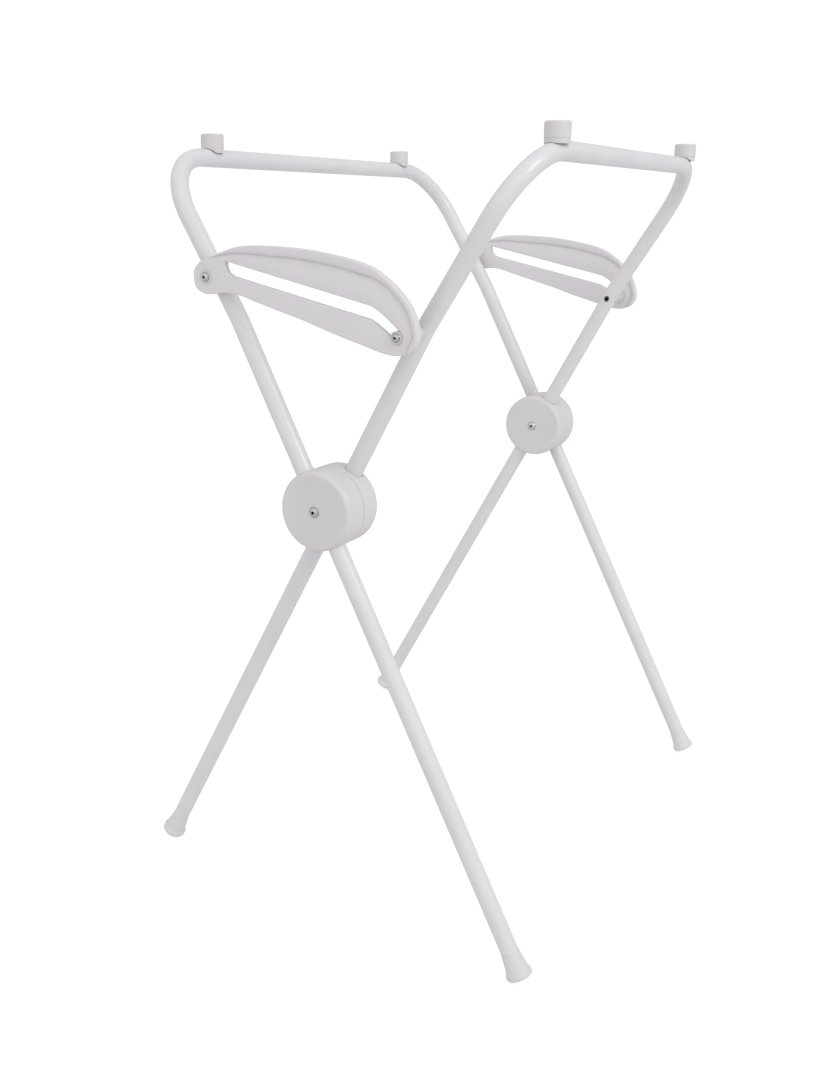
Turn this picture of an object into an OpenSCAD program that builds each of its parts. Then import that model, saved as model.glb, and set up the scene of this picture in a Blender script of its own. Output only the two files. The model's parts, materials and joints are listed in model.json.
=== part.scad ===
// Folding X-frame stand for a baby bath or carrycot.
// Two bent tube frames cross at two round hubs. Two slotted spreader handles hold them open.
// Origin: on the floor, in the middle of the footprint. X across the fold, Y along the bars, Z up.
// The stand is drawn open and locked.

/* [Frame tubes] */
// Outside diameter of both frame tubes
tube_d = 20; // [18:0.5:22]
// Wall thickness of both frame tubes
tube_wall = 1.2; // [0.8:0.1:2]
// Distance between the two legs of the outer frame, centre to centre
outer_span = 628; // [600:1:660]
// Distance between the two legs of the inner frame, centre to centre
inner_span = 560; // [532:1:592]
// Radius of the two top corners of each frame, at the tube's centre line
corner_r = 75; // [55:1:90]

/* [Stance] */
// Height of the fold axis above the floor
hub_h = 483; // [450:1:520]
// Lean of the lower legs from upright, in degrees
lower_lean = 27.8; // [25:0.1:30]
// Lean of the upper legs from upright, in degrees
upper_lean = 31.7; // [29:0.1:34]
// Height of the knee above the fold axis
knee_rise = 196; // [194:1:206]
// Height of the top bars above the fold axis
bar_rise = 365.3; // [340:0.1:390]

/* [Hubs] */
// Largest radius of a hub
hub_r = 44; // [40:0.5:46]
// Depth of one hub half, from the seam to its flat face
hub_depth = 31; // [30:0.5:36]
// Radius of the flat face of a hub
hub_face_r = 39; // [34:0.5:40]
// Radius of the hub axle sleeve
axle_r = 4.5; // [4:0.1:5]

/* [Spreaders] */
// Pivot on the outer frame: distance above the fold axis
pivot_rise = 240; // [232:1:250]
// Slide screw on the inner frame: distance above the fold axis
slide_rise = 190.2; // [186:0.1:192]
// Thickness of a spreader
spreader_t = 10; // [9:0.5:13]
// Gap between the outer frame's tube and a spreader, filled by the pivot spacer
spreader_gap = 3; // [3:0.5:6]
// Height of the straight stretch of the slot
slot_w = 12.8; // [12:0.1:14]

/* [Pegs] */
// Radius of a locating peg
peg_r = 13; // [11:0.5:14]
// Height of a locating peg above the crown of its bar
peg_h = 16.5; // [15:0.5:22]
// Distance between the two pegs of one bar
peg_pitch = 440; // [420:1:450]

/* [Foot caps] */
// Length of a foot cap along the leg
cap_l = 28; // [26:0.5:36]
// Radius of the flange at the bottom of a foot cap
cap_r = 14.5; // [13.5:0.1:16]

/* [Hidden] */
tube_r = tube_d / 2;
bore_r = tube_r - tube_wall;
// Clearances: a running fit, a snug fit within one body, and the gap between moving faces
run = 0.08;
snug = 0.05;
face_gap = 0.4;

// Fold axis and seam planes
outer_y = outer_span / 2;
inner_y = inner_span / 2;
seam_y = (outer_y + inner_y) / 2;

// Leg geometry, for a frame whose bar is on the +X side
knee_x = knee_rise * tan(lower_lean);
knee_lap = 5;
upper_l = (bar_rise - knee_rise) / cos(upper_lean);
bar_x = knee_x + upper_l * sin(upper_lean);
bar_z = hub_h + bar_rise;
crown_z = bar_z + tube_r;

// Foot geometry: the cap stands on the rounded edge of its tilted base
cap_edge = 2;
cap_floor = 5;
foot_z = (cap_r - cap_edge) * sin(lower_lean) + cap_edge * (1 - cos(lower_lean));
lower_l = (hub_h - foot_z) / cos(lower_lean);

// Spreader geometry, in the plane of the front spreader
pivot_x = -(knee_x + (pivot_rise - knee_rise) * tan(upper_lean));
slide_x = slide_rise * tan(lower_lean);
slot_len = norm([slide_x - pivot_x, slide_rise - pivot_rise]);
slot_tilt = atan2(slide_rise - pivot_rise, slide_x - pivot_x);
spreader_back = outer_y + tube_r + spreader_gap;
spreader_front = spreader_back + spreader_t;
// Its two flat faces lie below the bead along its crest
face_sink = 1.2;
plate_back = spreader_back + face_sink;
plate_front = spreader_front - face_sink;
plate_t = plate_front - plate_back;
pivot_r = 3;
slide_r = 2.5;
bush_r = 5;
bush_flange = 0.8;
washer_t = 1.2;

// Peg screws: each is sunk into the top of its peg and driven down into the bar
peg_screw_r = 2;
peg_sink_r = 4.8;
peg_sink = 9;
// A peg's skirt hangs past the crown of its bar, just inside the round wall that a socket fits over.
// Its saddle is wider than the tube, so it opens to the sides.
peg_skirt = 4.5;
peg_skirt_r = peg_r - 0.4;
peg_wall_low = 0.4;
peg_saddle_r = 15;
peg_saddle_gap = 0.25;
peg_neck_r = 6;

// Colours
white_paint = [0.93, 0.93, 0.94];
white_plastic = [0.90, 0.90, 0.91];
grey_plastic = [0.80, 0.80, 0.82];
steel = [0.74, 0.75, 0.77];

// Placement helpers

// Turns a frame whose bar is on the +X side into the outer frame, whose bar is on the -X side
module outer_side() mirror([1, 0, 0]) children();
// Makes a rear part out of a front part
module rear() mirror([0, 1, 0]) children();
// Draws a front part and its rear twin
module both_ends() {
  children();
  rear() children();
}
// Local Z runs up the lower leg, from the fold axis
module on_leg(y) translate([0, y, hub_h]) rotate([0, lower_lean, 0]) children();
// Local X is Y, and local Y runs up the upper leg, from the knee
module in_bar_plane()
  translate([knee_x, 0, hub_h + knee_rise]) rotate([0, upper_lean, 0]) rotate([90, 0, 90]) children();
// Local Z points to the front, starting at depth y, on an axis through x and z
module facing_front(x, y, z) translate([x, -y, z]) rotate([90, 0, 0]) children();
// The spreader's own plane: X from the pivot to the slide screw, Z to the front
module in_spreader(y) facing_front(pivot_x, y, hub_h + pivot_rise) rotate([0, 0, slot_tilt]) children();

// Frame tubes

// Straight rod of radius r along a lower leg, from l below the fold axis to just past the knee.
// The quarter turn puts the rod's seam in line with the upper leg's.
module lower_leg(y, r, l)
  on_leg(y) translate([0, 0, -l]) rotate([0, 0, 90])
    cylinder(r = r, h = l + knee_rise / cos(lower_lean) + knee_lap, $fn = 48);

// Rod of radius r along both upper legs and the bar, from just below the knees
module bar_loop(y, r) in_bar_plane() {
  for (side = [-1, 1]) {
    translate([side * y, -knee_lap, 0]) rotate([-90, 0, 0])
      cylinder(r = r, h = upper_l - corner_r + knee_lap, $fn = 48);
    translate([side * (y - corner_r), upper_l - corner_r, 0]) rotate([0, 0, side > 0 ? 0 : 90])
      rotate_extrude(angle = 90, $fn = 96) translate([corner_r, 0]) circle(r, $fn = 48);
  }
  translate([corner_r - y, upper_l, 0]) rotate([0, 90, 0]) cylinder(r = r, h = 2 * (y - corner_r), $fn = 48);
}

// Everything below the plane in which the lower and upper legs meet
module below_knee()
  translate([knee_x, 0, hub_h + knee_rise]) rotate([0, (lower_lean + upper_lean) / 2, 0])
    translate([0, 0, -1000]) cube([4000, 4000, 2000], center = true);

// Rod of radius r along the whole of one frame, legs at -y and +y, ending l below the fold axis
module frame_path(y, r, l) {
  difference() {
    bar_loop(y, r);
    below_knee();
  }
  for (side = [-1, 1]) intersection() {
    lower_leg(side * y, r, l);
    below_knee();
  }
}

module frame_tube(y) difference() {
  frame_path(y, tube_r, lower_l - cap_floor);
  frame_path(y, bore_r, lower_l - cap_floor + 1);
  for (side = [-1, 1]) translate([bar_x, side * peg_pitch / 2, bar_z])
    cylinder(r = peg_screw_r + run, h = 20, $fn = 24);
}

module outer_frame_tube() color(white_paint) difference() {
  outer_side() frame_tube(outer_y);
  both_ends() {
    facing_front(0, outer_y - 20, hub_h) cylinder(r = axle_r + snug, h = 40, $fn = 32);
    facing_front(pivot_x, outer_y - 20, hub_h + pivot_rise) cylinder(r = 4.4 + snug, h = 40, $fn = 32);
  }
}

module inner_frame_tube() color(white_paint) difference() {
  frame_tube(inner_y);
  both_ends() {
    facing_front(0, inner_y - 20, hub_h) cylinder(r = axle_r + run, h = 40, $fn = 32);
    facing_front(slide_x, inner_y - 20, hub_h + slide_rise) cylinder(r = 4 + snug, h = 40, $fn = 32);
  }
}

// Hubs: each is two round shells that meet at a seam, one on each frame

hub_round = hub_r - hub_face_r;
hub_round_h = 8;
hub_steps = 10;
hub_profile = concat(
  [[14, 1], [14, 5.5], [hub_r - 3.5, 5.5], [hub_r - 3.5, face_gap], [hub_r - 0.8, face_gap], [hub_r, 1.4]],
  [for (i = [0:hub_steps])
    let (a = 90 * i / hub_steps)
    [hub_face_r + hub_round * cos(a), hub_depth - hub_round_h + hub_round_h * sin(a)]],
  [[0, hub_depth], [0, 1]]
);

// One hub half, its seam at Z 0 and its flat face at Z hub_depth, with a tube passage across it
module hub_shell(hole_r, leg_at, lean) difference() {
  rotate_extrude($fn = 96) polygon(hub_profile);
  translate([0, 0, -1]) cylinder(r = hole_r, h = hub_depth + 2, $fn = 32);
  translate([0, 0, leg_at]) rotate([90, 0, lean])
    cylinder(r = tube_r + snug, h = 3 * hub_r, center = true, $fn = 48);
}

module front_outer_hub_shell() color(white_plastic)
  facing_front(0, seam_y, hub_h) hub_shell(axle_r + snug, outer_y - seam_y, lower_lean);
module rear_outer_hub_shell() rear() front_outer_hub_shell();

module front_inner_hub_shell() color(white_plastic)
  translate([0, -seam_y, hub_h]) rotate([-90, 0, 0]) hub_shell(axle_r + run, seam_y - inner_y, lower_lean);
module rear_inner_hub_shell() rear() front_inner_hub_shell();

// Dome of a button-head screw, its flat side at Z 0, with a hexagon recess
module button_head(r, h, key) difference() {
  intersection() {
    translate([0, 0, h - (r * r + h * h) / (2 * h)]) sphere(r = (r * r + h * h) / (2 * h), $fn = 48);
    cylinder(r = r + 1, h = h + 1, $fn = 32);
  }
  translate([0, 0, h * 0.45]) cylinder(r = key, h = h, $fn = 6);
}

// Sleeve nut: the axle that the inner frame turns on, with its own dome on the inside of the hub
module front_hub_axle() color(steel) facing_front(0, seam_y - hub_depth, hub_h) {
  difference() {
    translate([0, 0, -face_gap]) cylinder(r = axle_r, h = 2 * hub_depth - 2, $fn = 32);
    translate([0, 0, hub_depth]) cylinder(r = 3 + snug, h = 2 * hub_depth, $fn = 32);
  }
  translate([0, 0, -face_gap]) rotate([180, 0, 0]) button_head(6, 3, 2);
}
module rear_hub_axle() rear() front_hub_axle();

module front_hub_screw() color(steel) facing_front(0, seam_y + hub_depth, hub_h) {
  button_head(6, 3, 2);
  translate([0, 0, 4 - hub_depth]) cylinder(r = 3, h = hub_depth - 4, $fn = 32);
}
module rear_hub_screw() rear() front_hub_screw();

module front_friction_washer() color(grey_plastic)
  facing_front(0, seam_y - 1, hub_h) difference() {
    cylinder(r = 13.5, h = 2 - face_gap, $fn = 48);
    translate([0, 0, -1]) cylinder(r = axle_r + run, h = 4, $fn = 32);
  }
module rear_friction_washer() rear() front_friction_washer();

// Locating pegs and their screws

// Peg on a +X bar: a round cap whose wide saddle straddles the tube, on a narrower neck that fits it
module peg(y, bar_y) color(white_plastic) difference() {
  union() {
    difference() {
      translate([bar_x, y, crown_z]) rotate_extrude($fn = 64) polygon(concat(
        [[0, -peg_skirt], [peg_skirt_r, -peg_skirt], [peg_skirt_r, peg_wall_low], [peg_r, peg_wall_low]],
        [for (a = [0:15:90]) [peg_r - 2 + 2 * cos(a), peg_h - 2 + 2 * sin(a)]],
        [[0, peg_h]]
      ));
      translate([0, 0, tube_r - peg_saddle_r]) bar_loop(bar_y, peg_saddle_r + peg_saddle_gap);
    }
    translate([bar_x, y, crown_z - peg_skirt]) cylinder(r = peg_neck_r, h = peg_skirt + 3, $fn = 32);
  }
  bar_loop(bar_y, tube_r + snug);
  translate([bar_x, y, bar_z]) cylinder(r = peg_screw_r + snug, h = tube_r + peg_h, $fn = 24);
  translate([bar_x, y, crown_z + peg_h - peg_sink]) cylinder(r = peg_sink_r, h = peg_h, $fn = 48);
}

module outer_front_peg() outer_side() peg(-peg_pitch / 2, outer_y);
module outer_rear_peg() outer_side() peg(peg_pitch / 2, outer_y);
module inner_front_peg() peg(-peg_pitch / 2, inner_y);
module inner_rear_peg() peg(peg_pitch / 2, inner_y);

// Two screws that go down through a bar's pegs into the top wall of its tube
module peg_screws() color(steel)
  for (side = [-1, 1]) translate([bar_x, side * peg_pitch / 2, crown_z + peg_h - peg_sink]) {
    button_head(4, 2.4, 1.2);
    translate([0, 0, -(peg_h - peg_sink + tube_r + 4)])
      cylinder(r = peg_screw_r, h = peg_h - peg_sink + tube_r + 4, $fn = 24);
  }
module outer_peg_screws() outer_side() peg_screws();
module inner_peg_screws() peg_screws();

// Foot caps, on the lower ends of the legs of a frame whose bar is on the +X side

cap_profile = concat(
  [[0, 0], [cap_r - cap_edge, 0]],
  [for (a = [-75:15:0]) [cap_r - cap_edge + cap_edge * cos(a), cap_edge + cap_edge * sin(a)]],
  [[cap_r, 5], [cap_r - 0.8, 6.2], [tube_r + 2.6, 7.4], [tube_r + 1.2, cap_l - 1], [tube_r + 0.7, cap_l]],
  [[0, cap_l]]
);

module foot_cap(y) color(grey_plastic) on_leg(y) translate([0, 0, -lower_l]) difference() {
  rotate_extrude($fn = 64) polygon(cap_profile);
  translate([0, 0, cap_floor]) cylinder(r = tube_r + snug, h = cap_l, $fn = 48);
}

module outer_front_foot_cap() outer_side() foot_cap(-outer_y);
module outer_rear_foot_cap() outer_side() foot_cap(outer_y);
module inner_front_foot_cap() foot_cap(-inner_y);
module inner_rear_foot_cap() foot_cap(inner_y);

// Spreaders

// Corners of the crescent, in the spreader's plane, with the pivot at the origin
crescent = [
  [-17.5, 1], [-13, 12], [-2, 20], [18, 32], [36, 41], [58, 47], [86, 52.3], [118, 56.8], [158, 59.3],
  [190, 58.2],
  [212, 51.5], [230, 42], [244, 31], [253.5, 17.5], [258.5, 4], [254.5, -8.5], [243, -16.4], [226, -19.2],
  [198, -17.9], [164, -15.8], [130, -12.8], [95, -11], [64, -9.2], [44, -8], [28, -10], [14, -15], [0, -17.7],
  [-12, -13.3]
];
// Smooth closed curve through the corners
curve_steps = 4;
function lap(list, i) = list[(i + len(list)) % len(list)];
function curve_point(p, i, t) =
  0.5 * (2 * lap(p, i) + t * (lap(p, i + 1) - lap(p, i - 1))
  + t * t * (2 * lap(p, i - 1) - 5 * lap(p, i) + 4 * lap(p, i + 1) - lap(p, i + 2))
  + t * t * t * (3 * lap(p, i) - lap(p, i - 1) - 3 * lap(p, i + 1) + lap(p, i + 2)));
outline = [
  for (i = [0:len(crescent) - 1]) for (s = [0:curve_steps - 1]) curve_point(crescent, i, s / curve_steps)
];
// The same curve moved in by a given list of distances
function moved_in(p, by) = [
  for (i = [0:len(p) - 1])
    let (d = lap(p, i + 1) - lap(p, i - 1))
    p[i] + by[i] * [d[1], -d[0]] / norm(d)
];
// Width of the raised bead: broad along the crest, narrow round the nose, and none (below zero) elsewhere
function held(t) = min(max(t, 0), 1);
function crest_bead(v) = 11.5 * held((v - 17) / 33) - 2;
function nose_bead(v) = 6.6 * held((v + 17) / 10) - 2;
function bead(p) =
  let (m = held((p[0] - 185) / 30))
  (1 - m) * crest_bead(p[1]) + m * nose_bead(p[1]);
bead_edge = 1;

// Slot: a straight run, then a downward kink that ends in a round seat under the slide screw
slot_low = 9;
seat_r = 4.8;
seat_v = 1.6;
slot_outline = concat(
  [[32.5, slot_low], [26.5, slot_low + 2], [22, slot_low + slot_w - 5], [20.8, slot_low + slot_w]],
  [[slot_len - 34, slot_low + slot_w], [slot_len - 25, slot_low + slot_w - 2.9]],
  [[slot_len - 13.3, slot_low + slot_w - 8], [slot_len - 5, slot_low + slot_w - 12.2]],
  [for (a = [60:-20:-100]) [slot_len - 0.6 + seat_r * cos(a), seat_v + seat_r * sin(a)]],
  [[slot_len - 8.5, -0.8], [slot_len - 18, 3.4], [slot_len - 27, 7], [slot_len - 35, slot_low]]
);

module front_spreader() color(white_plastic) in_spreader(spreader_back) difference() {
  union() {
    linear_extrude(spreader_t) polygon(moved_in(outline, [for (p = outline) bead_edge]));
    translate([0, 0, bead_edge]) linear_extrude(spreader_t - 2 * bead_edge) polygon(outline);
  }
  for (z = [face_sink - 5, spreader_t - face_sink]) translate([0, 0, z])
    linear_extrude(5) polygon(moved_in(outline, [for (p = outline) bead(p)]));
  translate([0, 0, -1]) linear_extrude(spreader_t + 2) polygon(slot_outline);
  translate([0, 0, -1]) cylinder(r = bush_r + snug, h = spreader_t + 2, $fn = 32);
}
module rear_spreader() rear() front_spreader();

// Flanged bush in the eye of the spreader
module front_pivot_bush() color(grey_plastic) in_spreader(plate_back) difference() {
  union() {
    cylinder(r = bush_r, h = plate_t, $fn = 32);
    translate([0, 0, plate_t]) cylinder(r = 7.5, h = bush_flange, $fn = 48);
  }
  translate([0, 0, -1]) cylinder(r = pivot_r + run, h = plate_t + 3, $fn = 32);
}
module rear_pivot_bush() rear() front_pivot_bush();

// Spacer between the outer frame's leg and the spreader, saddle-shaped over the tube
module front_pivot_spacer() color(grey_plastic) difference() {
  facing_front(pivot_x, outer_y + tube_r - 3, hub_h + pivot_rise)
    cylinder(r = 8, h = plate_back - outer_y - tube_r + 3 - face_gap, $fn = 48);
  outer_side() bar_loop(outer_y, tube_r + snug);
  facing_front(pivot_x, outer_y, hub_h + pivot_rise) cylinder(r = pivot_r + snug, h = 40, $fn = 32);
}
module rear_pivot_spacer() rear() front_pivot_spacer();

pivot_head_y = plate_front + bush_flange + face_gap;
module front_pivot_screw() color(steel) in_spreader(pivot_head_y) {
  button_head(5, 2.8, 1.7);
  translate([0, 0, outer_y - tube_r - pivot_head_y])
    cylinder(r = pivot_r, h = pivot_head_y - outer_y + tube_r, $fn = 32);
}
module rear_pivot_screw() rear() front_pivot_screw();

// Spacer between the inner frame's leg and the spreader, saddle-shaped over the tube
module front_slide_spacer() color(grey_plastic) difference() {
  facing_front(slide_x, inner_y + tube_r - 4, hub_h + slide_rise)
    cylinder(r = 7, h = plate_back - face_gap - inner_y - tube_r + 4, $fn = 48);
  lower_leg(-inner_y, tube_r + snug, 10);
  facing_front(slide_x, inner_y, hub_h + slide_rise) cylinder(r = slide_r + snug, h = 60, $fn = 32);
}
module rear_slide_spacer() rear() front_slide_spacer();

module front_slide_washer() color(grey_plastic)
  facing_front(slide_x, plate_front + face_gap, hub_h + slide_rise) difference() {
    cylinder(r = 6.5, h = washer_t, $fn = 48);
    translate([0, 0, -1]) cylinder(r = slide_r + snug, h = washer_t + 2, $fn = 32);
  }
module rear_slide_washer() rear() front_slide_washer();

slide_head_y = plate_front + face_gap + washer_t;
module front_slide_screw() color(steel) facing_front(slide_x, slide_head_y, hub_h + slide_rise) {
  button_head(4.5, 2.6, 1.5);
  translate([0, 0, inner_y - slide_head_y])
    cylinder(r = slide_r, h = slide_head_y - inner_y, $fn = 32);
}
module rear_slide_screw() rear() front_slide_screw();

// Threaded sleeves riveted across the tubes, one for each screw
module rivet_nut(x, y, rise, r, hole_r) facing_front(x, y - tube_r + 1, hub_h + rise) difference() {
  cylinder(r = r, h = tube_d - 2, $fn = 32);
  translate([0, 0, -1]) cylinder(r = hole_r + snug, h = tube_d, $fn = 32);
}
module pivot_rivet_nuts() color(steel) both_ends() rivet_nut(pivot_x, outer_y, pivot_rise, 4.4, pivot_r);
module slide_rivet_nuts() color(steel) both_ends() rivet_nut(slide_x, inner_y, slide_rise, 4, slide_r);

outer_frame_tube();
inner_frame_tube();
front_outer_hub_shell();
rear_outer_hub_shell();
front_inner_hub_shell();
rear_inner_hub_shell();
front_hub_axle();
rear_hub_axle();
front_hub_screw();
rear_hub_screw();
front_friction_washer();
rear_friction_washer();
outer_front_peg();
outer_rear_peg();
inner_front_peg();
inner_rear_peg();
outer_peg_screws();
inner_peg_screws();
outer_front_foot_cap();
outer_rear_foot_cap();
inner_front_foot_cap();
inner_rear_foot_cap();
front_spreader();
rear_spreader();
front_pivot_bush();
rear_pivot_bush();
front_pivot_spacer();
rear_pivot_spacer();
front_pivot_screw();
rear_pivot_screw();
front_slide_spacer();
rear_slide_spacer();
front_slide_washer();
rear_slide_washer();
front_slide_screw();
rear_slide_screw();
pivot_rivet_nuts();
slide_rivet_nuts();
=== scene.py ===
import json
import math

import bmesh
import bpy
from mathutils import Matrix, Vector


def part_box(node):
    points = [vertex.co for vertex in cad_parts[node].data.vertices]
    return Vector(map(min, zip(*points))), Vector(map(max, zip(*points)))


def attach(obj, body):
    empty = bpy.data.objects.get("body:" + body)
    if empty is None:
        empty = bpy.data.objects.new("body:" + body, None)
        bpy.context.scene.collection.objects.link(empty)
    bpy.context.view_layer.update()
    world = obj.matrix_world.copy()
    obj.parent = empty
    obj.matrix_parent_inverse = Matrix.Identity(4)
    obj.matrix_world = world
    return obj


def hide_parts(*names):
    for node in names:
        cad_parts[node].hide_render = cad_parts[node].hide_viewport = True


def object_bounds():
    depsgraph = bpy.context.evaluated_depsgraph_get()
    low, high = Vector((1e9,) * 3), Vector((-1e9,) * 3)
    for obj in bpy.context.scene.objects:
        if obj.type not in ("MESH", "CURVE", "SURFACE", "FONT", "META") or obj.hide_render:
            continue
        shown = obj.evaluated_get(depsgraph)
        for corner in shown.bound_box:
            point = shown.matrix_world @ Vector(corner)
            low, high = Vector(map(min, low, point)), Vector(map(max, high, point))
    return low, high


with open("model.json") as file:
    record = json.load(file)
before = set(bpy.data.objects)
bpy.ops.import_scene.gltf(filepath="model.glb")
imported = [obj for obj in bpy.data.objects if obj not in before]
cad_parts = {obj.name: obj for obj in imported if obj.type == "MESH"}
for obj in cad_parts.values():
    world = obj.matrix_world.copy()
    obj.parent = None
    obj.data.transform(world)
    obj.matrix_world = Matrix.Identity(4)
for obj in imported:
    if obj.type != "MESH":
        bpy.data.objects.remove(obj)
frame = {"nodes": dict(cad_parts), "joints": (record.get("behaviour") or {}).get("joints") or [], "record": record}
CAD_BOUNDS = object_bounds()

# ---------------------------------------------------------------------------------------------
# Driving dimensions, in metres and degrees, and places worked out from the frame
# ---------------------------------------------------------------------------------------------
TUBE_R = 0.010
BORE_R = 0.0088
TUBE_SIDES = 48
PIVOT_HOLE_R = 0.00445
SLIDE_HOLE_R = 0.00405
LOWER_LEAN = math.radians(27.8)
UPPER_LEAN = math.radians(31.7)
KNEE_RISE = 0.196
BAR_RISE = 0.3653
CORNER_R = 0.075
KNEE_R = 0.16
CAP_R = 0.0145
CAP_EDGE = 0.002
CAP_FLOOR = 0.005
CAP_L = 0.028
HUB_R = 0.044
HUB_FACE_R = 0.039
HUB_DEPTH = 0.031
HUB_HOLE_R = 0.00475
HUB_EDGE_H = 0.008
HUB_LIP_H = 0.0022
PASSAGE_R = TUBE_R + 0.0004
SPREADER_T = 0.010
PEG_R = 0.013
PEG_H = 0.0165
PEG_SKIRT = 0.0045
PEG_SKIRT_R = 0.0126
PEG_WALL_LOW = 0.0004
PEG_SADDLE_R = 0.015
PEG_SADDLE_GAP = 0.00025
PEG_NECK_R = 0.006
PEG_NECK_H = 0.003
PEG_BAR_GAP = 0.00005
PEG_HOLE_R = 0.00206
PEG_SINK_R = 0.0048
PEG_SINK = 0.009

JOINTS = {j["name"]: j for j in frame["joints"]}
HUB_Z = JOINTS["fold"]["pos_m"][2]
PIVOT = Vector(JOINTS["front_spreader_pivot"]["pos_m"])
OUTER_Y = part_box("outer_frame_tube")[1].y - TUBE_R
INNER_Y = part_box("inner_frame_tube")[1].y - TUBE_R
SEAM_Y = (OUTER_Y + INNER_Y) / 2
KNEE = Vector((KNEE_RISE * math.tan(LOWER_LEAN), 0, HUB_Z + KNEE_RISE))
UP_LEG = Vector((math.sin(UPPER_LEAN), 0, math.cos(UPPER_LEAN)))
LOW_LEG = Vector((math.sin(LOWER_LEAN), 0, math.cos(LOWER_LEAN)))
UPPER_L = (BAR_RISE - KNEE_RISE) / math.cos(UPPER_LEAN)
FOOT_Z = (CAP_R - CAP_EDGE) * math.sin(LOWER_LEAN) + CAP_EDGE * (1 - math.cos(LOWER_LEAN))
LOWER_L = (HUB_Z - FOOT_Z) / math.cos(LOWER_LEAN)
SLIDE = (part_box("front_slide_washer")[0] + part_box("front_slide_washer")[1]) / 2
SPREADER_BACK = -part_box("front_spreader")[1].y


# ---------------------------------------------------------------------------------------------
# Materials
# ---------------------------------------------------------------------------------------------
def node_of(tree, kind, **inputs):
    """Adds a shader node and sets its inputs by name."""
    node = tree.nodes.new(kind)
    for key, value in inputs.items():
        node.inputs[key.replace("_", " ")].default_value = value
    return node


def mixed_colour(tree, factor, start, end):
    """A colour that runs from start to end with factor. Each of the two is a colour or a node's output."""
    mix = tree.nodes.new("ShaderNodeMix")
    mix.data_type = "RGBA"
    for name, value in (("A", start), ("B", end)):
        if isinstance(value, tuple):
            mix.inputs[name].default_value = (*value, 1)
        else:
            tree.links.new(value, mix.inputs[name])
    tree.links.new(factor, mix.inputs["Factor"])
    return mix.outputs["Result"]


def ranged(tree, value, low, high, out_low, out_high):
    """value, stretched from low..high to out_low..out_high and held at the ends."""
    node = node_of(tree, "ShaderNodeMapRange")
    limits = {"From Min": low, "From Max": high, "To Min": out_low, "To Max": out_high}
    for name, number in limits.items():
        node.inputs[name].default_value = number
    tree.links.new(value, node.inputs["Value"])
    return node.outputs["Result"]


def noise(tree, place, scale, detail, roughness=0.5):
    """Noise at place, with scale in cycles per metre."""
    node = node_of(tree, "ShaderNodeTexNoise", Scale=scale, Detail=detail, Roughness=roughness)
    tree.links.new(place, node.inputs["Vector"])
    return node.outputs["Fac"]


DRIFT_SCALE, GLOSS_SCALE, WEAR_SCALE = 14.0, 55.0, 160.0  # noise for broad tone, gloss and rubbed edges


def finish_material(name, dark, light, rough, grain, coat=0.0, metal=0.0, wear=None, painted_crevice_shade=None):
    """A surface with broad tone drift, fine grain and uneven gloss.

    grain is (scale per metre, bump height in metres). wear is a colour for rubbed edges, or None.
    painted_crevice_shade is (colour, reach in metres): painted shade that darkens the colour where surfaces meet, or
    None.
    """
    material = bpy.data.materials.new(name)
    material.use_nodes = True
    tree = material.node_tree
    shader = tree.nodes["Principled BSDF"]
    shader.inputs["Metallic"].default_value = metal
    shader.inputs["Coat Weight"].default_value = coat
    shader.inputs["Coat Roughness"].default_value = 0.12
    shader.inputs["IOR"].default_value = 1.5
    place = tree.nodes.new("ShaderNodeTexCoord").outputs["Object"]
    broad = noise(tree, place, DRIFT_SCALE, 3.0)
    fine = noise(tree, place, grain[0], 3.0, 0.6)
    colour = mixed_colour(tree, ranged(tree, broad, 0.3, 0.7, 0, 1), dark, light)
    if wear:
        rubbed = tree.nodes.new("ShaderNodeNewGeometry").outputs["Pointiness"]
        edge = ranged(tree, rubbed, 0.56, 0.66, 0, 1)
        broken = node_of(tree, "ShaderNodeMath")
        broken.operation = "MULTIPLY"
        tree.links.new(edge, broken.inputs[0])
        tree.links.new(ranged(tree, noise(tree, place, WEAR_SCALE, 4.0), 0.45, 0.65, 0, 0.5), broken.inputs[1])
        colour = mixed_colour(tree, broken.outputs[0], colour, wear)
    # Painted shade: the colour darkens towards near black where ambient occlusion finds other surfaces close by, in
    # crevices and round screw heads.
    if painted_crevice_shade:
        open_air = node_of(tree, "ShaderNodeAmbientOcclusion", Distance=painted_crevice_shade[1])
        openness = ranged(tree, open_air.outputs["AO"], 0.78, 0.99, 0, 1)
        colour = mixed_colour(tree, openness, painted_crevice_shade[0], colour)
    tree.links.new(colour, shader.inputs["Base Color"])
    gloss = ranged(tree, noise(tree, place, GLOSS_SCALE, 4.0), 0.3, 0.7, rough - 0.05, rough + 0.05)
    tree.links.new(gloss, shader.inputs["Roughness"])
    bump = node_of(tree, "ShaderNodeBump", Strength=0.35, Distance=grain[1])
    tree.links.new(fine, bump.inputs["Height"])
    tree.links.new(bump.outputs["Normal"], shader.inputs["Normal"])
    return material


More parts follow.
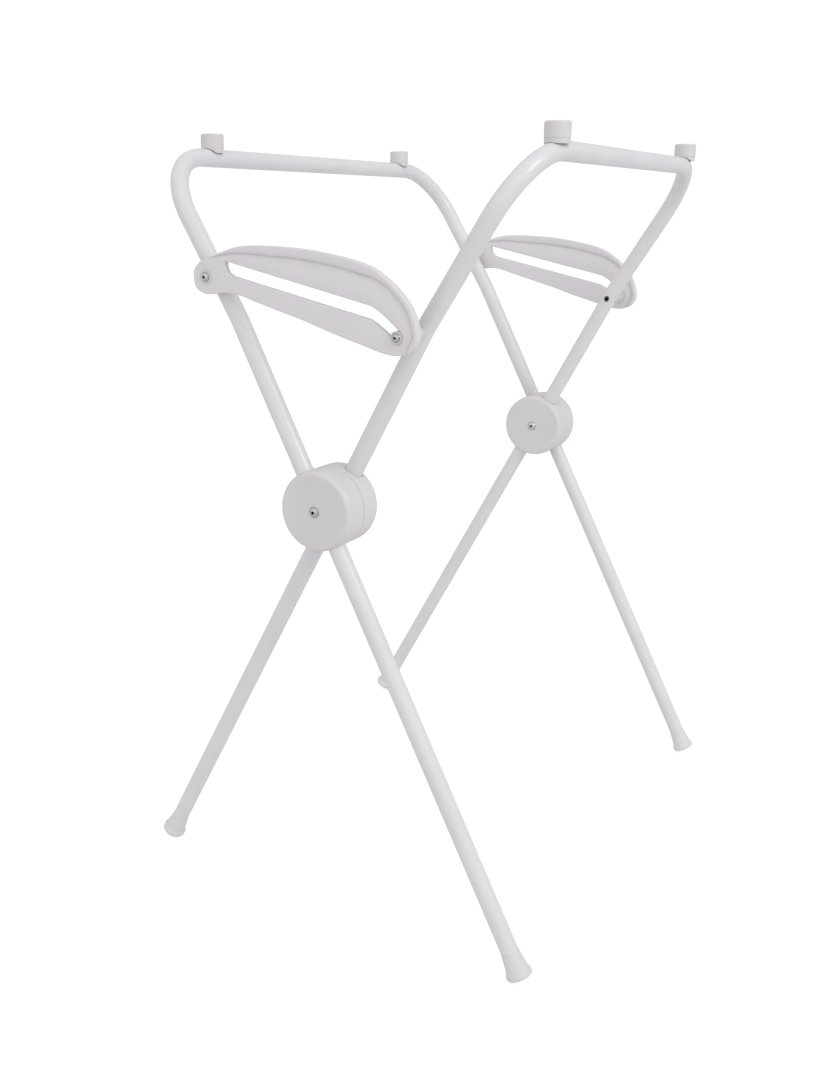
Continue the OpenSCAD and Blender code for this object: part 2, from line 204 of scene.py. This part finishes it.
MATERIALS = {
    "frame_paint": finish_material(
        "powder_coat", (0.655, 0.651, 0.670), (0.690, 0.686, 0.704), 0.32, (1100, 0.00006), coat=0.3
    ),
    "hub_plastic": finish_material(
        "hub_plastic", (0.628, 0.607, 0.614), (0.660, 0.640, 0.647), 0.40, (1500, 0.00006),
        wear=(0.58, 0.56, 0.56),
    ),
    "spreader_plastic": finish_material(
        "spreader_plastic", (0.668, 0.640, 0.664), (0.700, 0.674, 0.697), 0.42, (1500, 0.00006),
        wear=(0.61, 0.59, 0.60),
    ),
    "peg_plastic": finish_material(
        "peg_plastic", (0.612, 0.592, 0.600), (0.648, 0.629, 0.636), 0.46, (1700, 0.00008)
    ),
    "foot_rubber": finish_material(
        "foot_rubber", (0.640, 0.634, 0.652), (0.676, 0.670, 0.688), 0.58, (1300, 0.00012),
        wear=(0.60, 0.59, 0.59),
    ),
    "bearing_plastic": finish_material(
        "bearing_plastic", (0.58, 0.56, 0.57), (0.62, 0.60, 0.61), 0.44, (1600, 0.00006)
    ),
    "bright_steel": finish_material(
        "bright_steel", (0.50, 0.495, 0.50), (0.62, 0.615, 0.62), 0.16, (900, 0.00003), metal=1.0,
        # Painted shade: near-black colour where the steel meets other parts, so the screw heads get dark rims.
        painted_crevice_shade=((0.03, 0.03, 0.03), 0.0035),
    ),
    "zinc_steel": finish_material(
        "zinc_steel", (0.30, 0.30, 0.32), (0.38, 0.38, 0.40), 0.40, (700, 0.00005), metal=1.0,
        # Painted shade: near-black colour where the steel meets other parts.
        painted_crevice_shade=((0.04, 0.04, 0.04), 0.003),
    ),
}
for part in frame["record"]["subparts"]:
    cad_mesh = frame["nodes"][part["node"]].data
    cad_mesh.materials.clear()
    cad_mesh.materials.append(MATERIALS[part["material_slot"]])


# ---------------------------------------------------------------------------------------------
# Mesh helpers
# ---------------------------------------------------------------------------------------------
def new_piece(name, bm, body, node, slot):
    """Makes a piece from bm that rides on body and stands for a CAD node."""
    bmesh.ops.remove_doubles(bm, verts=bm.verts, dist=1e-7)
    bmesh.ops.recalc_face_normals(bm, faces=bm.faces)
    mesh = bpy.data.meshes.new(name)
    bm.to_mesh(mesh)
    bm.free()
    for face in mesh.polygons:
        face.use_smooth = True
    mesh.materials.append(MATERIALS[slot])
    piece = bpy.data.objects.new(name, mesh)
    bpy.context.scene.collection.objects.link(piece)
    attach(piece, body)
    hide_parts(node)
    return piece


def ring_strip(bm, rings, closed=False):
    """Joins rings of equal count into a skin. closed joins the last ring to the first."""
    pairs = list(zip(rings, rings[1:]))
    if closed:
        pairs.append((rings[-1], rings[0]))
    for low, high in pairs:
        for i in range(len(low)):
            j = (i + 1) % len(low)
            bm.faces.new((low[i], low[j], high[j], high[i]))


def lathe(profile, segments, place):
    """Turns a closed (radius, height) profile round Z and puts it in place."""
    bm = bmesh.new()
    rings = []
    for radius, height in profile:
        rings.append([
            bm.verts.new(place @ Vector((
                radius * math.cos(2 * math.pi * i / segments), radius * math.sin(2 * math.pi * i / segments), height
            )))
            for i in range(segments)
        ])
    ring_strip(bm, rings, closed=True)
    return bm


def rounded(profile, radii, steps=5):
    """The closed profile with its corners rounded: radii[i] is for corner i, 0 leaves it sharp."""
    out = []
    count = len(profile)
    for i, corner in enumerate(profile):
        here = Vector(corner)
        radius = radii[i]
        if radius <= 0:
            out.append(tuple(here))
            continue
        before = Vector(profile[i - 1]) - here
        after = Vector(profile[(i + 1) % count]) - here
        half = before.angle(after) / 2
        reach = min(radius / math.tan(half), before.length * 0.49, after.length * 0.49)
        start = here + before.normalized() * reach
        end = here + after.normalized() * reach
        for s in range(steps + 1):
            t = s / steps
            out.append(tuple(start * (1 - t) ** 2 + here * 2 * t * (1 - t) + end * t ** 2))
    return out


def along(origin, z_axis, x_axis=Vector((0, 1, 0))):
    """Matrix that puts local Z on z_axis at origin."""
    z = z_axis.normalized()
    x = (x_axis - z * x_axis.dot(z)).normalized()
    y = z.cross(x)
    return Matrix.Translation(origin) @ Matrix((x, y, z)).transposed().to_4x4()


def tool_object(bm):
    """Makes an object from bm that is used only in a boolean step."""
    bmesh.ops.recalc_face_normals(bm, faces=bm.faces)
    mesh = bpy.data.meshes.new("tool")
    bm.to_mesh(mesh)
    bm.free()
    tool = bpy.data.objects.new("tool", mesh)
    bpy.context.scene.collection.objects.link(tool)
    return tool


def cylinder_object(origin, axis, radius, length, segments=48):
    """A plain cylinder centred on origin, used only to cut holes."""
    bm = bmesh.new()
    bmesh.ops.create_cone(
        bm, cap_ends=True, segments=segments, radius1=radius, radius2=radius, depth=length,
        matrix=along(origin, axis, axis.orthogonal()),
    )
    return tool_object(bm)


def settle(piece):
    """Replaces the piece's mesh by what its modifiers make of it."""
    graph = bpy.context.evaluated_depsgraph_get()
    graph.update()
    result = bpy.data.meshes.new_from_object(piece.evaluated_get(graph))
    piece.modifiers.clear()
    piece.data = result


def carve(piece, steps):
    """Applies (operation, tool) steps to the piece in turn and removes the tools."""
    for operation, tool in steps:
        cut = piece.modifiers.new("step", "BOOLEAN")
        cut.operation = operation
        cut.solver = "EXACT"
        cut.object = tool
    bpy.context.view_layer.update()
    settle(piece)
    for _, tool in steps:
        bpy.data.objects.remove(tool)


def soften(piece, width, segments=3, angle=35):
    """Rounds the piece's sharp edges."""
    bevel = piece.modifiers.new("edge", "BEVEL")
    bevel.width = width
    bevel.segments = segments
    bevel.limit_method = "ANGLE"
    bevel.angle_limit = math.radians(angle)
    bevel.harden_normals = True
    normal = piece.modifiers.new("normal", "WEIGHTED_NORMAL")
    normal.keep_sharp = True
    bpy.context.view_layer.update()
    settle(piece)


def ends():
    """(prefix, sign of y) for the front and the rear end."""
    return (("front", -1), ("rear", 1))


FRAMES = (("outer", -1, OUTER_Y), ("inner", 1, INNER_Y))  # name, side of its bar along X, leg plane


# ---------------------------------------------------------------------------------------------
# Frame tubes
# ---------------------------------------------------------------------------------------------
def steps_between(a, b, spacing):
    """Points from a to b, a and b included."""
    count = max(1, round((b - a).length / spacing))
    return [a.lerp(b, i / count) for i in range(count + 1)]


def arc_between(centre, start, end, steps):
    """Points on the arc about centre from start to end."""
    a, b = start - centre, end - centre
    angle = a.angle(b)
    axis = a.cross(b).normalized()
    return [centre + Matrix.Rotation(angle * i / steps, 3, axis) @ a for i in range(steps + 1)]


def half_path(y, side):
    """Centre line of one frame from its foot at -y to the middle of its bar."""
    def at(point):
        return Vector((side * point.x, point.y, point.z))

    hub = Vector((0, -y, HUB_Z))
    knee = KNEE + Vector((0, -y, 0))
    cut = KNEE_R * math.tan((UPPER_LEAN - LOWER_LEAN) / 2)
    foot = hub - LOW_LEG * (LOWER_L - CAP_FLOOR)
    knee_in, knee_out = knee - LOW_LEG * cut, knee + UP_LEG * cut
    knee_centre = knee_in + Vector((math.cos(LOWER_LEAN), 0, -math.sin(LOWER_LEAN))) * KNEE_R
    corner = knee + UP_LEG * UPPER_L
    bend_in = corner - UP_LEG * CORNER_R
    bend_out = corner + Vector((0, CORNER_R, 0))
    bend_centre = bend_in + Vector((0, CORNER_R, 0))
    points = steps_between(foot, knee_in, 0.006)
    points += arc_between(knee_centre, knee_in, knee_out, 6)[1:]
    points += steps_between(knee_out, bend_in, 0.006)[1:]
    points += arc_between(bend_centre, bend_in, bend_out, 36)[1:]
    points += steps_between(bend_out, Vector((bend_out.x, 0, bend_out.z)), 0.01)[1:]
    return [at(p) for p in points]


def swept_tube(path, radius, bore, sides):
    """A tube along path with open, ringed ends."""
    bm = bmesh.new()
    tangents = []
    for i in range(len(path)):
        before, after = path[max(i - 1, 0)], path[min(i + 1, len(path) - 1)]
        tangents.append((after - before).normalized())
    across = tangents[0].orthogonal().normalized()
    outer, inner = [], []
    for i, point in enumerate(path):
        if i:
            turn = tangents[i - 1].rotation_difference(tangents[i])
            across = turn @ across
        up = tangents[i].cross(across)
        angles = [2 * math.pi * k / sides for k in range(sides)]
        spokes = [across * math.cos(a) + up * math.sin(a) for a in angles]
        outer.append([bm.verts.new(point + spoke * radius) for spoke in spokes])
        inner.append([bm.verts.new(point + spoke * bore) for spoke in spokes])
    ring_strip(bm, outer)
    ring_strip(bm, inner[::-1])
    ring_strip(bm, [inner[0], outer[0]])
    ring_strip(bm, [outer[-1], inner[-1]])
    return bm


Y_AXIS = Vector((0, 1, 0))
NUT_HOLES = {"outer": (PIVOT, PIVOT_HOLE_R), "inner": (SLIDE, SLIDE_HOLE_R)}


def frame_tube(prefix, side, leg_y):
    """One bent tube, with a hole across each leg for its rivet nut.

    The hub axles pass through its walls, which have no bore for them. The hub shells hide that.
    """
    half = half_path(leg_y, side)
    rear_half = [Vector((p.x, -p.y, p.z)) for p in reversed(half[:-1])]
    node = prefix + "_frame_tube"
    skin = swept_tube(half + rear_half, TUBE_R, BORE_R, TUBE_SIDES)
    tube = new_piece("painted_" + node, skin, prefix + "_frame", node, "frame_paint")
    nut, hole_r = NUT_HOLES[prefix]
    hole = Vector((nut.x, 0, nut.z))
    carve(tube, [
        ("DIFFERENCE", cylinder_object(hole + Y_AXIS * sign * leg_y, Y_AXIS, hole_r, 0.03)) for _, sign in ends()
    ])


for prefix, side, leg_y in FRAMES:
    frame_tube(prefix, side, leg_y)


# ---------------------------------------------------------------------------------------------
# Hub shells
# ---------------------------------------------------------------------------------------------
def hub_profile(hole_r):
    """Closed (radius, height) profile of a hub half, from the seam at 0 to the flat face."""
    round_w, steps = HUB_R - HUB_FACE_R, 14
    wall_h = HUB_DEPTH - HUB_EDGE_H - HUB_LIP_H
    wall = [(HUB_R, HUB_LIP_H + wall_h * i / 12) for i in range(12)]
    quarter = [math.pi / 2 * i / steps for i in range(steps + 1)]
    shoulder = [
        (HUB_FACE_R + round_w * math.cos(a), HUB_DEPTH - HUB_EDGE_H + HUB_EDGE_H * math.sin(a)) for a in quarter
    ]
    lip = rounded([(HUB_R - 0.0033, 0.0004), (HUB_R - 0.001, 0.0004), (HUB_R, 0.0014), (HUB_R, HUB_LIP_H)],
                  [0.0004, 0.0006, 0.0006, 0])
    face = [(radius, HUB_DEPTH) for radius in (0.034, 0.026, 0.018, 0.011, hole_r + 0.0006)]
    pocket = [(hole_r, 0.001), (0.014, 0.001), (0.014, 0.0055), (HUB_R - 0.0037, 0.0055)]
    return pocket + lip[:-1] + wall + shoulder + face + [(hole_r, HUB_DEPTH - 0.0006)]


def hub_shell(end, sign, prefix, side, leg_y):
    """One half of a hub, with a passage for the leg that it is fixed to."""
    outward = sign if prefix == "outer" else -sign
    place = along(Vector((0, sign * SEAM_Y, HUB_Z)), Vector((0, outward, 0)), Vector((1, 0, 0)))
    node = end + "_" + prefix + "_hub_shell"
    skin = lathe(hub_profile(HUB_HOLE_R), 128, place)
    shell = new_piece("moulded_" + node, skin, prefix + "_frame", node, "hub_plastic")
    leg = Vector((side * LOW_LEG.x, 0, LOW_LEG.z))
    passage = cylinder_object(Vector((0, sign * leg_y, HUB_Z)), leg, PASSAGE_R, 0.12, 64)
    carve(shell, [("DIFFERENCE", passage)])
    soften(shell, 0.0005)


for end, sign in ends():
    for prefix, side, leg_y in FRAMES:
        hub_shell(end, sign, prefix, side, leg_y)


# ---------------------------------------------------------------------------------------------
# Spreaders
# ---------------------------------------------------------------------------------------------
CRESCENT = [  # corners in the spreader's plane, in millimetres, with the pivot at the origin
    (-17.5, 1), (-13, 12), (-2, 20), (18, 32), (36, 41), (58, 47), (86, 52.3), (118, 56.8), (158, 59.3), (190, 58.2),
    (212, 51.5), (230, 42), (244, 31), (253.5, 17.5), (258.5, 4), (254.5, -8.5), (243, -16.4), (226, -19.2),
    (198, -17.9), (164, -15.8), (130, -12.8), (95, -11), (64, -9.2), (44, -8), (28, -10), (14, -15), (0, -17.7),
    (-12, -13.3),
]
SLOT_LOW, SLOT_W = 0.009, 0.0128
SEAT_R, SEAT_V = 0.0048, 0.0016
FACE_SINK = 0.0012
BEAD_GROOVE = 0.0008
EDGE_R = 0.0013
EYE_R = 0.00505
HOLE_EDGE_R = 0.0009


def curve_through(corners, steps):
    """Smooth closed curve through the corners."""
    count = len(corners)
    points = [Vector(c) for c in corners]
    out = []
    for i in range(count):
        a, b, c, d = (points[(i + k) % count] for k in (-1, 0, 1, 2))
        for s in range(steps):
            t = s / steps
            out.append(0.5 * (2 * b + t * (c - a) + t * t * (2 * a - 5 * b + 4 * c - d)
                              + t ** 3 * (3 * b - a - 3 * c + d)))
    return out


def moved_in(outline, distance):
    """The clockwise outline moved inwards by distance(point)."""
    count = len(outline)
    out = []
    for i, point in enumerate(outline):
        run = (outline[(i + 1) % count] - outline[i - 1]).normalized()
        out.append(point + Vector((run.y, -run.x)) * distance(point))
    return out


def held(t):
    """t, kept between 0 and 1."""
    return min(max(t, 0), 1)


def bead_width(point):
    """Width of the raised bead: broad on the crest, narrow round the nose, below zero where there is none."""
    crest = 0.0115 * held((point.y - 0.017) / 0.033) - 0.002
    nose = 0.0066 * held((point.y + 0.017) / 0.010) - 0.002
    share = held((point.x - 0.185) / 0.030)
    return (1 - share) * crest + share * nose


def slot_outline(length):
    """Closed outline of the slot, clockwise, with its corners eased."""
    top, low = SLOT_LOW + SLOT_W, SLOT_LOW
    seat = [
        (length - 0.0006 + SEAT_R * math.cos(math.radians(a)), SEAT_V + SEAT_R * math.sin(math.radians(a)))
        for a in range(60, -101, -10)
    ]
    corners = [(0.0208, top), (length - 0.034, top), (length - 0.025, top - 0.0029),
               (length - 0.0133, top - 0.008), (length - 0.005, top - 0.0122)]
    corners += seat
    corners += [(length - 0.0085, -0.0008), (length - 0.018, 0.0034), (length - 0.027, 0.007),
                (length - 0.035, low), (0.0325, low), (0.0265, low + 0.002), (0.022, low + SLOT_W - 0.005)]
    radii = [0.001, 0.02, 0.02, 0.02, 0.01] + [0] * len(seat) + [0.01, 0.02, 0.02, 0.02, 0.006, 0.006, 0.002]
    return [Vector(p) for p in rounded(corners, radii, 6)]


def ring_in(bm, outline, heights, place):
    """Vertices for the outline's points at the given heights."""
    return [bm.verts.new(place @ Vector((p.x, p.y, h))) for p, h in zip(outline, heights)]


def cap_fill(bm, loops):
    """Fills the flat area bounded by the loops of vertices."""
    edges = []
    for loop in loops:
        for i in range(len(loop)):
            a, b = loop[i], loop[(i + 1) % len(loop)]
            edges.append(bm.edges.get((a, b)) or bm.edges.new((a, b)))
    bmesh.ops.triangle_fill(bm, use_beauty=True, use_dissolve=False, edges=edges)


FACE_H = SPREADER_T - FACE_SINK


def plate_section(point):
    """(distance from the edge, depth below the bead's crown) of the plate's skin, from edge to face."""
    width = max(bead_width(point), EDGE_R + 0.0006)
    height = held((bead_width(point) + 0.001) / 0.004)
    top = FACE_SINK * (1 - height)
    floor_depth = FACE_SINK + BEAD_GROOVE * height
    quarter = [math.pi / 2 * k / 5 for k in range(6)]
    section = [(EDGE_R * (1 - math.cos(a)), top + EDGE_R * (1 - math.sin(a))) for a in quarter]
    section += [
        (EDGE_R + (width - EDGE_R) * 0.5, top),
        (width - 0.0003, top + 0.00005 * height),
        (width, top + 0.0003 * height),
        (width + 0.0003, floor_depth - 0.0001 * height),
        (width + 0.0005, floor_depth),
        (width + 0.0013, floor_depth),
        (width + 0.0017, floor_depth - 0.5 * BEAD_GROOVE * height),
        (width + 0.0021, FACE_SINK),
    ]
    return section


def spreader_mesh(place, length):
    """A crescent plate with a raised bead on both faces, a kinked slot and an eye."""
    outline = [Vector((p.x / 1000, p.y / 1000)) for p in curve_through(CRESCENT, 8)]
    sections = {tuple(p): plate_section(p) for p in outline}
    slot = slot_outline(length)
    round_eye = [2 * math.pi * i / 48 for i in range(48)]
    eye = [Vector((EYE_R * math.cos(a), EYE_R * math.sin(a))) for a in round_eye]
    bm = bmesh.new()
    fronts, backs = [], []
    for k in range(len(plate_section(outline[0]))):
        moved = moved_in(outline, lambda p: sections[tuple(p)][k][0])
        depths = [sections[tuple(p)][k][1] for p in outline]
        fronts.append(ring_in(bm, moved, [SPREADER_T - d for d in depths], place))
        backs.append(ring_in(bm, moved, depths, place))
    ring_strip(bm, backs[::-1] + fronts)
    loops = ([fronts[-1]], [backs[-1]])
    for hole, grow in ((slot, -HOLE_EDGE_R), (eye, HOLE_EDGE_R)):
        walls = []
        for k in range(5):
            angle = math.pi / 2 * k / 4
            wider = moved_in(hole, lambda p: grow * (1 - math.sin(angle)))
            walls.append((wider, FACE_H - HOLE_EDGE_R + HOLE_EDGE_R * math.cos(angle)))
        rings = [ring_in(bm, wider, [h] * len(wider), place) for wider, h in walls]
        rings += [ring_in(bm, wider, [SPREADER_T - h] * len(wider), place) for wider, h in reversed(walls)]
        ring_strip(bm, rings)
        loops[0].append(rings[0])
        loops[1].append(rings[-1])
    for group in loops:
        cap_fill(bm, group)
    return bm


def spreader(end, sign):
    """One spreader, in a plane set by its pivot and the slide screw."""
    reach = Vector((SLIDE.x - PIVOT.x, SLIDE.z - PIVOT.z))
    run = Vector((reach.x, 0, reach.y)).normalized()
    rise = Vector((-run.z, 0, run.x))
    axes = Matrix((run, rise, Vector((0, sign, 0)))).transposed().to_4x4()
    place = Matrix.Translation(Vector((PIVOT.x, sign * SPREADER_BACK, PIVOT.z))) @ axes
    node = end + "_spreader"
    skin = spreader_mesh(place, reach.length)
    new_piece("moulded_" + node, skin, end + "_spreader_arm", node, "spreader_plastic")


for end, sign in ends():
    spreader(end, sign)


# ---------------------------------------------------------------------------------------------
# Pegs and foot caps
# ---------------------------------------------------------------------------------------------
def bar_rod(side, leg_y, radius, gap):
    """A solid rod whose crown is a gap above that of a frame's bar, used only to cut saddles."""
    drop = Vector((0, 0, TUBE_R - radius))
    half = [p for p in half_path(leg_y, side) if p.z > HUB_Z + BAR_RISE - 0.06]
    path = half + [Vector((p.x, -p.y, p.z)) for p in reversed(half[:-1])]
    bm = bmesh.new()
    rings = []
    rod_r = radius + gap
    angles = [2 * math.pi * k / 64 for k in range(64)]
    for i, point in enumerate(path):
        run = (path[min(i + 1, len(path) - 1)] - path[max(i - 1, 0)]).normalized()
        turn = along(point + drop, run, Vector((1, 0, 0.3)))
        rings.append([bm.verts.new(turn @ Vector((rod_r * math.cos(a), rod_r * math.sin(a), 0))) for a in angles])
    ring_strip(bm, rings)
    bm.faces.new(rings[0][::-1])
    bm.faces.new(rings[-1])
    return tool_object(bm)


def peg(end, prefix, side, leg_y):
    """One locating peg: a round head on a neck, with a saddle that fits over the bar."""
    node = prefix + "_" + end + "_peg"
    low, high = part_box(node)
    place = Matrix.Translation(Vector(((low.x + high.x) / 2, (low.y + high.y) / 2, high.z - PEG_H)))
    body = rounded(
        [(PEG_HOLE_R, -PEG_SKIRT), (PEG_SKIRT_R, -PEG_SKIRT), (PEG_SKIRT_R, PEG_WALL_LOW),
         (PEG_R, PEG_WALL_LOW + 0.0004), (PEG_R, PEG_H), (PEG_SINK_R, PEG_H),
         (PEG_SINK_R, PEG_H - PEG_SINK), (PEG_HOLE_R, PEG_H - PEG_SINK)],
        [0, 0.0004, 0, 0, 0.0022, 0.0006, 0, 0], 8,
    )
    neck = [(PEG_HOLE_R, -PEG_SKIRT), (PEG_NECK_R, -PEG_SKIRT), (PEG_NECK_R, PEG_NECK_H), (PEG_HOLE_R, PEG_NECK_H)]
    piece = new_piece("moulded_" + node, lathe(body, 96, place), prefix + "_frame", node, "peg_plastic")
    carve(piece, [
        ("DIFFERENCE", bar_rod(side, leg_y, PEG_SADDLE_R, PEG_SADDLE_GAP)),
        ("UNION", tool_object(lathe(neck, 64, place))),
        ("DIFFERENCE", bar_rod(side, leg_y, TUBE_R, PEG_BAR_GAP)),
    ])
    soften(piece, 0.00025, 2, 30)


def foot_cap(end, sign, prefix, side, leg_y):
    """One cap on the end of a leg."""
    node = prefix + "_" + end + "_foot_cap"
    leg = Vector((side * LOW_LEG.x, 0, LOW_LEG.z))
    foot = Vector((0, sign * leg_y, HUB_Z)) - leg * LOWER_L
    profile = rounded(
        [(0, 0), (CAP_R, 0), (CAP_R, 0.0050), (TUBE_R + 0.0026, 0.0076), (TUBE_R + 0.0002, CAP_L),
         (TUBE_R + 0.00002, CAP_L), (TUBE_R + 0.00002, CAP_FLOOR), (0, CAP_FLOOR)],
        [0, CAP_EDGE + 0.0004, 0.0014, 0.006, 0.0001, 0, 0, 0], 8,
    )
    new_piece("moulded_" + node, lathe(profile, 96, along(foot, leg)), prefix + "_frame", node, "foot_rubber")


for end, sign in ends():
    for prefix, side, leg_y in FRAMES:
        peg(end, prefix, side, leg_y)
        foot_cap(end, sign, prefix, side, leg_y)


# ---------------------------------------------------------------------------------------------
# Floor, light and camera
# ---------------------------------------------------------------------------------------------
def area_light(name, place, target, size, power):
    """A round lamp at place that points at target."""
    light = bpy.data.lights.new(name, "AREA")
    light.shape = "DISK"
    light.size = size
    light.energy = power
    lamp = bpy.data.objects.new(name, light)
    lamp.location = place
    lamp.rotation_euler = (Vector(target) - Vector(place)).to_track_quat("-Z", "Y").to_euler()
    bpy.context.scene.collection.objects.link(lamp)


bm = bmesh.new()
bmesh.ops.create_grid(bm, x_segments=1, y_segments=1, size=30)
floor_mesh = bpy.data.meshes.new("floor")
bm.to_mesh(floor_mesh)
bm.free()
floor = bpy.data.objects.new("floor", floor_mesh)
floor.location.z = CAD_BOUNDS[0][2] - 0.0005
bpy.context.scene.collection.objects.link(floor)
floor_paint = bpy.data.materials.new("floor_paint")
floor_paint.use_nodes = True
floor_shader = floor_paint.node_tree.nodes["Principled BSDF"]
floor_shader.inputs["Base Color"].default_value = (0.62, 0.62, 0.62, 1)
floor_shader.inputs["Roughness"].default_value = 0.9
floor_shader.inputs["Specular IOR Level"].default_value = 0.1
floor_shader.inputs["Emission Color"].default_value = (1, 1, 1, 1)
# The camera sees a white floor. It gives less light than that to the stand's undersides.
floor_tree = floor_paint.node_tree
floor_seen = floor_tree.nodes.new("ShaderNodeLightPath").outputs["Is Camera Ray"]
floor_tree.links.new(ranged(floor_tree, floor_seen, 0, 1, 0.15, 0.58), floor_shader.inputs["Emission Strength"])
floor_mesh.materials.append(floor_paint)

# The studio behind the stand is white. Its light on the stand is broad, and strongest from the front right.
world = bpy.data.worlds.new("studio")
bpy.context.scene.world = world
world.use_nodes = True
sky = world.node_tree
soft = sky.nodes["Background"]
soft.inputs["Color"].default_value = (1, 1, 1, 1)
side_on = node_of(sky, "ShaderNodeVectorMath")
side_on.operation = "DOT_PRODUCT"
side_on.inputs[1].default_value = Vector((0.40, -0.85, 0.34)).normalized()
sky.links.new(sky.nodes.new("ShaderNodeTexCoord").outputs["Generated"], side_on.inputs[0])
sky.links.new(ranged(sky, side_on.outputs["Value"], -1, 1, 0.60, 1.09), soft.inputs["Strength"])
white = node_of(sky, "ShaderNodeBackground", Color=(1, 1, 1, 1), Strength=1.05)
seen = sky.nodes.new("ShaderNodeLightPath").outputs["Is Camera Ray"]
choice = sky.nodes.new("ShaderNodeMixShader")
sky.links.new(seen, choice.inputs[0])
sky.links.new(soft.outputs[0], choice.inputs[1])
sky.links.new(white.outputs[0], choice.inputs[2])
sky.links.new(choice.outputs[0], sky.nodes["World Output"].inputs["Surface"])
bpy.context.scene.view_settings.view_transform = "Standard"

area_light("key", (3.0, -0.6, 2.6), (0, 0, 0.5), 1.6, 26)

YAW, PITCH, ROLL = math.radians(121.689), math.radians(-15.048), math.radians(0.263)
camera_data = bpy.data.cameras.new("camera")
camera_data.sensor_fit = "VERTICAL"
camera_data.sensor_height = 36
camera_data.lens = 37.69
camera_data.shift_x = 0.0687
camera_data.shift_y = -0.0236
camera_data.clip_end = 100
camera = bpy.data.objects.new("camera", camera_data)
camera.matrix_world = (
    Matrix.Translation((0.6305, -1.2953, 0.7913))
    @ Matrix.Rotation(YAW - math.pi / 2, 4, "Z")
    @ Matrix.Rotation(math.pi / 2 + PITCH, 4, "X")
    @ Matrix.Rotation(ROLL, 4, "Z")
)
bpy.context.scene.collection.objects.link(camera)
bpy.context.scene.camera = camera
